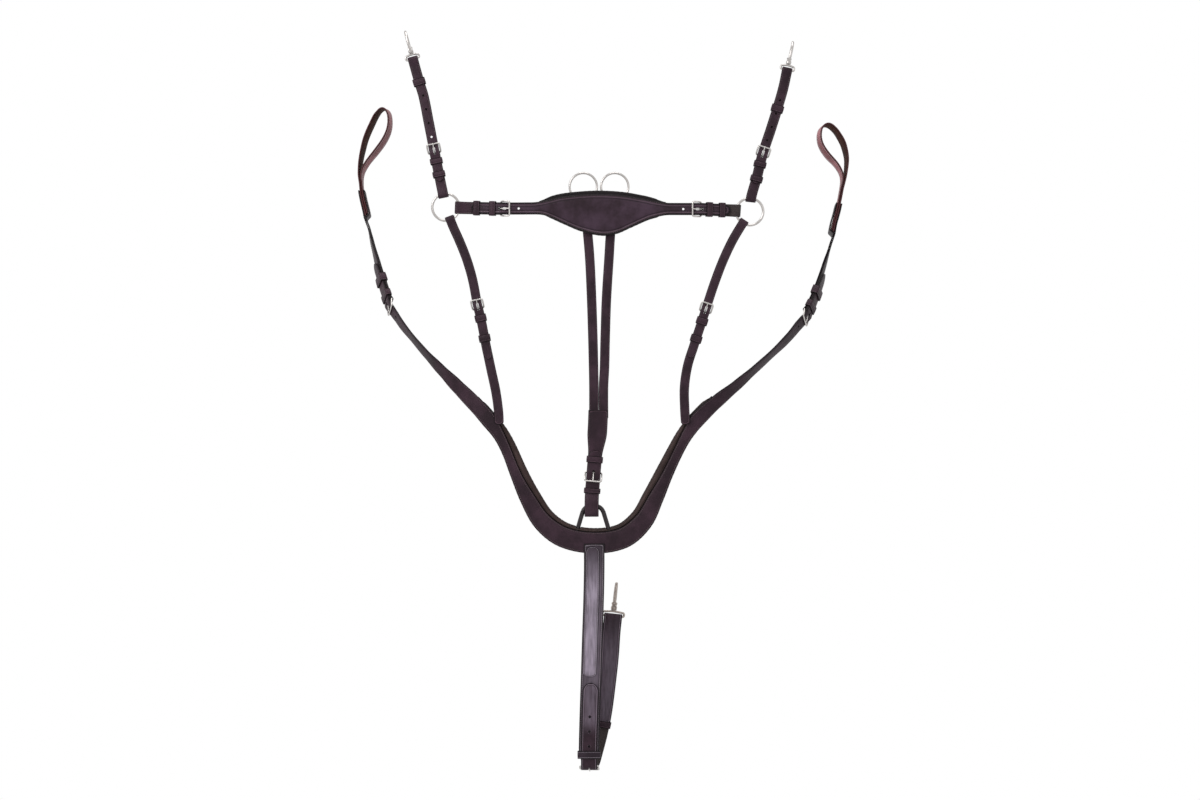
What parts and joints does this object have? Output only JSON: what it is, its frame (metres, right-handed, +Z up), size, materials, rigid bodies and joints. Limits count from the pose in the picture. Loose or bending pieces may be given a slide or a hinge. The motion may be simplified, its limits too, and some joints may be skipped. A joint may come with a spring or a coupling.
{
  "type": "five-point horse breastplate",
  "caption": "Leather breastplate for a riding horse: padded collar and wither bridge, buckled straps, swivel snap hooks for the saddle and girth.",
  "frame": {"origin": "in the middle of the wither bridge, where the breastplate lies on the horse's withers", "axes": "+Z up, +X to the right of someone facing the breastplate, -Y towards them"},
  "size_m": [0.7869, 0.1527, 1.1563],
  "materials": {
    "havana_leather": "waxed, softly glossy",
    "padded_lining": "soft, matt",
    "brown_loop_leather": "smooth outside, suede inside",
    "rolled_leather": "polished",
    "bright_steel": "polished"
  },
  "bodies": {
    "straps": {"belly_buckle_frame": "bright_steel", "belly_hook_eye": "bright_steel", "belly_hook_strap": "havana_leather", "belly_strap": "havana_leather", "breast_collar_face": "havana_leather", "breast_collar_lining": "padded_lining", "chest_ring": "bright_steel", "chest_ring_sleeve": "rolled_leather", "girth_buckle_left_frame": "bright_steel", "girth_buckle_right_frame": "bright_steel", "girth_chape_left": "havana_leather", "girth_chape_right": "havana_leather", "girth_loop_left": "brown_loop_leather", "girth_loop_right": "brown_loop_leather", "martingale_buckle_frame": "bright_steel", "martingale_strap": "havana_leather", "martingale_tail": "havana_leather", "saddle_billet_left": "havana_leather", "saddle_billet_right": "havana_leather", "saddle_buckle_left_frame": "bright_steel", "saddle_buckle_right_frame": "bright_steel", "saddle_chape_left": "havana_leather", "saddle_chape_right": "havana_leather", "saddle_hook_left_eye": "bright_steel", "saddle_hook_right_eye": "bright_steel", "shoulder_billet_left": "havana_leather", "shoulder_billet_right": "havana_leather", "shoulder_buckle_left_frame": "bright_steel", "shoulder_buckle_right_frame": "bright_steel", "shoulder_chape_left": "havana_leather", "shoulder_chape_right": "havana_leather", "wither_bridge_face": "havana_leather", "wither_bridge_lining": "padded_lining", "wither_buckle_left_frame": "bright_steel", "wither_buckle_right_frame": "bright_steel", "wither_chape_left": "havana_leather", "wither_chape_right": "havana_leather"},
    "wither_buckle_left_pin": {"wither_buckle_left_tongue": "bright_steel"},
    "wither_buckle_right_pin": {"wither_buckle_right_tongue": "bright_steel"},
    "saddle_buckle_left_pin": {"saddle_buckle_left_tongue": "bright_steel"},
    "saddle_buckle_right_pin": {"saddle_buckle_right_tongue": "bright_steel"},
    "shoulder_buckle_left_pin": {"shoulder_buckle_left_tongue": "bright_steel"},
    "shoulder_buckle_right_pin": {"shoulder_buckle_right_tongue": "bright_steel"},
    "girth_buckle_left_pin": {"girth_buckle_left_tongue": "bright_steel"},
    "girth_buckle_right_pin": {"girth_buckle_right_tongue": "bright_steel"},
    "martingale_buckle_pin": {"martingale_buckle_tongue": "bright_steel"},
    "belly_buckle_pin": {"belly_buckle_tongue": "bright_steel"},
    "saddle_hook_left_hook": {"saddle_hook_left_body": "bright_steel"},
    "saddle_hook_left_trigger": {"saddle_hook_left_gate": "bright_steel"},
    "saddle_hook_right_hook": {"saddle_hook_right_body": "bright_steel"},
    "saddle_hook_right_trigger": {"saddle_hook_right_gate": "bright_steel"},
    "belly_hook_hook": {"belly_hook_body": "bright_steel"},
    "belly_hook_trigger": {"belly_hook_gate": "bright_steel"},
    "saddle_ring_left_turning": {"saddle_ring_left": "bright_steel"},
    "saddle_ring_right_turning": {"saddle_ring_right": "bright_steel"},
    "martingale_ring_left_turning": {"martingale_ring_left": "bright_steel"},
    "martingale_ring_right_turning": {"martingale_ring_right": "bright_steel"},
    "girth_keeper_left_sliding": {"girth_keeper_left": "havana_leather"},
    "girth_keeper_right_sliding": {"girth_keeper_right": "havana_leather"}
  },
  "joints": [
    {"name": "wither_buckle_left_tongue_lift", "type": "hinge", "parent": "straps", "child": "wither_buckle_left_pin", "pos_m": [-0.154, 0.005, 0.007], "axis": [-0.0115, 0, -0.9999], "range_deg": [0, 40]},
    {"name": "wither_buckle_right_tongue_lift", "type": "hinge", "parent": "straps", "child": "wither_buckle_right_pin", "pos_m": [0.157, 0.005, 0.006], "axis": [0.0088, 0, 1], "range_deg": [0, 40]},
    {"name": "saddle_buckle_left_tongue_lift", "type": "hinge", "parent": "straps", "child": "saddle_buckle_left_pin", "pos_m": [-0.25725, 0.01752, 0.09425], "axis": [0.9807, 0, 0.1953], "range_deg": [0, 40]},
    {"name": "saddle_buckle_right_tongue_lift", "type": "hinge", "parent": "straps", "child": "saddle_buckle_right_pin", "pos_m": [0.25236, 0.01788, 0.08977], "axis": [0.9626, 0, -0.2711], "range_deg": [0, 40]},
    {"name": "shoulder_buckle_left_tongue_lift", "type": "hinge", "parent": "straps", "child": "shoulder_buckle_left_pin", "pos_m": [-0.18886, 0.00973, -0.14839], "axis": [0.9726, 0, 0.2324], "range_deg": [0, 40]},
    {"name": "shoulder_buckle_right_tongue_lift", "type": "hinge", "parent": "straps", "child": "shoulder_buckle_right_pin", "pos_m": [0.16299, 0.00967, -0.15337], "axis": [0.9532, 0, -0.3022], "range_deg": [0, 40]},
    {"name": "girth_buckle_left_tongue_lift", "type": "hinge", "parent": "straps", "child": "girth_buckle_left_pin", "pos_m": [-0.33205, 0.07075, -0.13639], "axis": [-0.2668, 0.7786, -0.5679], "range_deg": [0, 40]},
    {"name": "girth_buckle_right_tongue_lift", "type": "hinge", "parent": "straps", "child": "girth_buckle_right_pin", "pos_m": [0.32614, 0.06862, -0.15291], "axis": [-0.2836, -0.7762, 0.5631], "range_deg": [0, 40]},
    {"name": "martingale_buckle_tongue_lift", "type": "hinge", "parent": "straps", "child": "martingale_buckle_pin", "pos_m": [-0.00991, 0.00889, -0.40251], "axis": [-0.9967, 0, 0.0817], "range_deg": [0, 40]},
    {"name": "belly_buckle_tongue_lift", "type": "hinge", "parent": "straps", "child": "belly_buckle_pin", "pos_m": [-0.01693, 0.00587, -0.85823], "axis": [-0.9993, 0.0284, -0.0225], "range_deg": [0, 40]},
    {"name": "saddle_hook_left_swivel", "type": "hinge", "parent": "straps", "child": "saddle_hook_left_hook", "pos_m": [-0.292, 0.024, 0.242], "axis": [-0.2669, 0.0264, 0.9634], "continuous": true},
    {"name": "saddle_hook_left_gate_open", "type": "hinge", "parent": "saddle_hook_left_hook", "child": "saddle_hook_left_trigger", "pos_m": [-0.29692, 0.02906, 0.25977], "axis": [0.9637, 0, 0.267], "range_deg": [0, 24], "stiffness_Nm_per_rad": 0.05, "springref_deg": -11.46},
    {"name": "saddle_hook_right_swivel", "type": "hinge", "parent": "straps", "child": "saddle_hook_right_hook", "pos_m": [0.292, 0.024, 0.225], "axis": [0.2068, 0.0349, 0.9778], "continuous": true},
    {"name": "saddle_hook_right_gate_open", "type": "hinge", "parent": "saddle_hook_right_hook", "child": "saddle_hook_right_trigger", "pos_m": [0.29581, 0.02922, 0.243], "axis": [0.9784, 0, -0.2069], "range_deg": [0, 24], "stiffness_Nm_per_rad": 0.05, "springref_deg": -11.46},
    {"name": "belly_hook_swivel", "type": "hinge", "parent": "straps", "child": "belly_hook_hook", "pos_m": [0.0205, 0.032, -0.628], "axis": [0.105, 0.0013, 0.9945], "continuous": true},
    {"name": "belly_hook_gate_open", "type": "hinge", "parent": "belly_hook_hook", "child": "belly_hook_trigger", "pos_m": [0.02263, 0.02661, -0.60783], "axis": [-0.9945, 0, 0.105], "range_deg": [0, 24], "stiffness_Nm_per_rad": 0.05, "springref_deg": -11.46},
    {"name": "saddle_ring_left_spin", "type": "hinge", "parent": "straps", "child": "saddle_ring_left_turning", "pos_m": [-0.24, 0.014, 0.01], "axis": [0, -1, 0], "continuous": true},
    {"name": "saddle_ring_right_spin", "type": "hinge", "parent": "straps", "child": "saddle_ring_right_turning", "pos_m": [0.233, 0.014, 0.003], "axis": [0, -1, 0], "continuous": true},
    {"name": "martingale_ring_left_spin", "type": "hinge", "parent": "straps", "child": "martingale_ring_left_turning", "pos_m": [-0.026, 0.016, 0.042], "axis": [0, -1, 0], "continuous": true},
    {"name": "martingale_ring_right_spin", "type": "hinge", "parent": "straps", "child": "martingale_ring_right_turning", "pos_m": [0.023, 0.016, 0.042], "axis": [0, -1, 0], "continuous": true},
    {"name": "girth_keeper_left_slide", "type": "slide", "parent": "straps", "child": "girth_keeper_left_sliding", "axis": [0.2932, -0.3718, -0.8808], "range_m": [-0.006, 0.006]},
    {"name": "girth_keeper_right_slide", "type": "slide", "parent": "straps", "child": "girth_keeper_right_sliding", "axis": [-0.3521, -0.349, -0.8685], "range_m": [-0.006, 0.006]}
  ]
}
